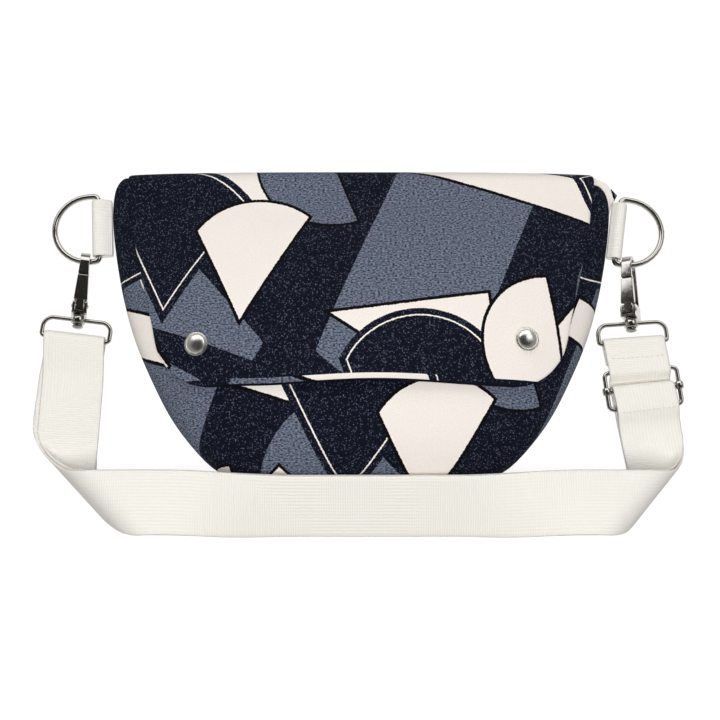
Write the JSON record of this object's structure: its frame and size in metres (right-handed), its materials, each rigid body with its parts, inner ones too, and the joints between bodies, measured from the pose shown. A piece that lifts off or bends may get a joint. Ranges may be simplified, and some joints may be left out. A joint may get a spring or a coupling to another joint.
{
  "type": "belt bag",
  "caption": "Soft trapezoid belt bag lying on its back, with a snapped front flap and a folded webbing strap clipped to side rings.",
  "frame": {"origin": "on the outer face of the flat back panel, on the bag's middle line, 95.5 mm above its lower edge", "axes": "+X right across the bag as its front is seen, +Y up the bag towards the fold of the flap, +Z out of the front, which is up as the bag lies"},
  "size_m": [0.3968, 0.232, 0.044],
  "materials": {
    "patterned_cloth": "woven, matt",
    "webbing": "ribbed, matt",
    "nickel": "polished"
  },
  "bodies": {
    "bag": {"back_panel": "patterned_cloth", "front_panel": "patterned_cloth", "flap": "patterned_cloth", "snap_cap_left": "nickel", "snap_cap_right": "nickel", "snap_stud_left": "nickel", "snap_stud_right": "nickel", "tab_left": "webbing", "tab_right": "webbing", "d_ring_left": "nickel", "d_ring_right": "nickel", "loop_left": "nickel", "loop_right": "nickel", "slider_frame": "nickel", "slider_bar": "nickel", "strap": "webbing"},
    "hook_left": {"hook_left": "nickel"},
    "gate_left": {"gate_left": "nickel"},
    "hook_right": {"hook_right": "nickel"},
    "gate_right": {"gate_right": "nickel"}
  },
  "joints": [
    {"name": "swivel_left", "type": "hinge", "parent": "bag", "child": "hook_left", "pos_m": [-0.17398, 0.00937, 0.0086], "axis": [0.0523, 0.9986, 0], "range_deg": [-42, 14]},
    {"name": "gate_hinge_left", "type": "hinge", "parent": "hook_left", "child": "gate_left", "pos_m": [-0.17268, 0.01391, 0.01287], "axis": [-0.969, 0.0508, 0.2419], "range_deg": [0, 18], "stiffness_Nm_per_rad": 0.03, "springref_deg": -5.73},
    {"name": "swivel_right", "type": "hinge", "parent": "bag", "child": "hook_right", "pos_m": [0.16627, 0.00705, 0.0086], "axis": [0.0175, 0.9998, 0], "range_deg": [-1, 55]},
    {"name": "gate_hinge_right", "type": "hinge", "parent": "hook_right", "child": "gate_right", "pos_m": [0.16435, 0.01169, 0.01252], "axis": [-0.8909, 0.0156, -0.454], "range_deg": [0, 18], "stiffness_Nm_per_rad": 0.03, "springref_deg": -5.73}
  ]
}
